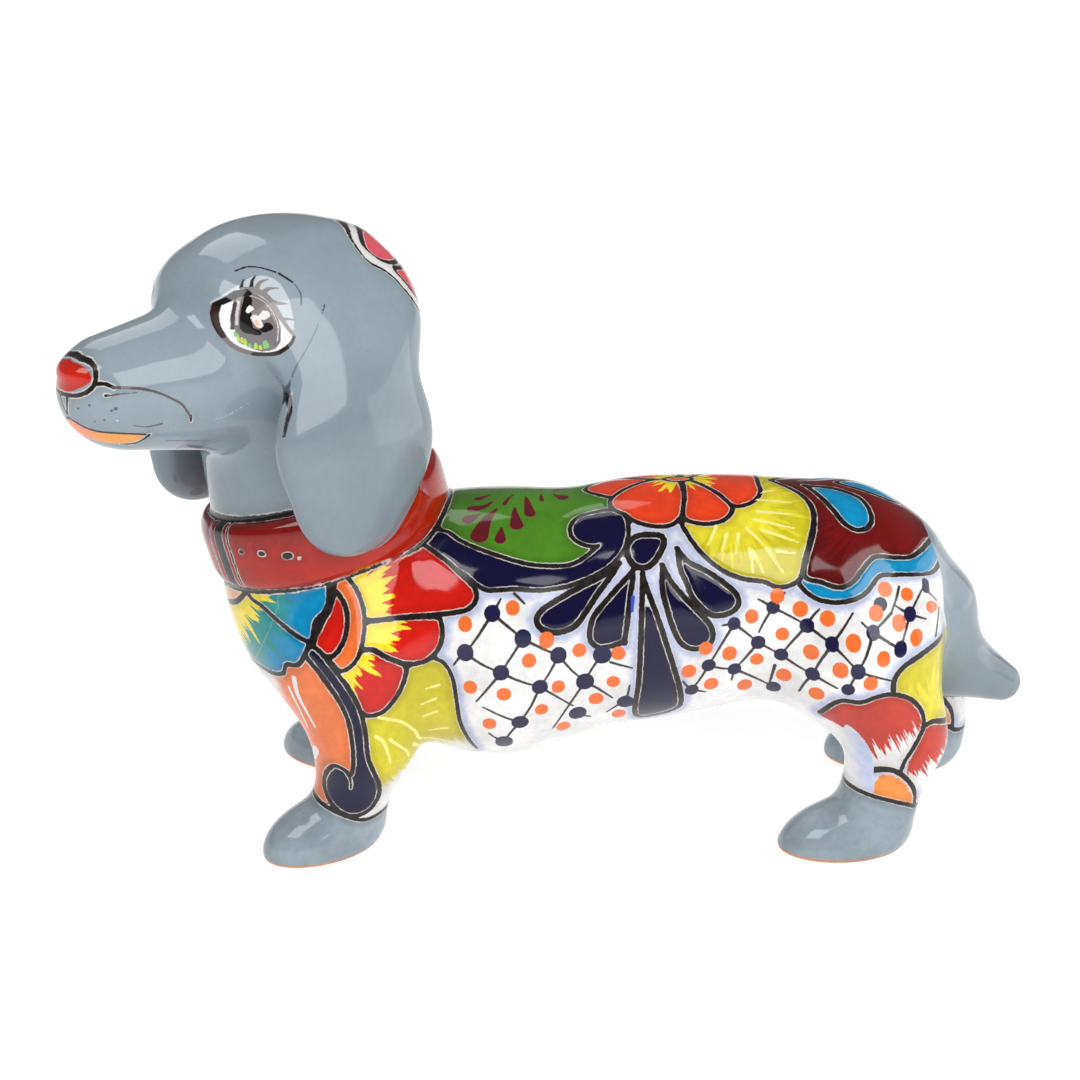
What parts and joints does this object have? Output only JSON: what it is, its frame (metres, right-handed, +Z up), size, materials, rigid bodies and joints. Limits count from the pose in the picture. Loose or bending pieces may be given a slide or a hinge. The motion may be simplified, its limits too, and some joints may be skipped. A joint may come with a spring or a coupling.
{
  "type": "ceramic dog figurine",
  "caption": "Standing dachshund figurine in hand-painted glazed earthenware, with hollow body and head, raised collar band, hanging ears and a turned head; stands on its paws.",
  "frame": {"origin": "centre of the outline's box in X and Y, on the plane of the paw soles", "axes": "+Z up, -X towards the nose, -Y on the dog's left side, which the head is turned to"},
  "size_m": [0.284, 0.1047, 0.1912],
  "materials": {
    "torso_glaze": "gloss",
    "grey_glaze": "gloss",
    "collar_glaze": "gloss",
    "nose_glaze": "gloss",
    "front_leg_glaze": "gloss",
    "rear_leg_glaze": "gloss"
  },
  "bodies": {
    "root": {"torso_shell": "torso_glaze", "neck_shell": "grey_glaze", "head_shell": "grey_glaze", "collar": "collar_glaze", "nose": "nose_glaze", "left_ear": "grey_glaze", "right_ear": "grey_glaze", "front_left_leg": "front_leg_glaze", "front_right_leg": "front_leg_glaze", "rear_left_leg": "rear_leg_glaze", "rear_right_leg": "rear_leg_glaze", "tail": "grey_glaze"}
  },
  "joints": []
}
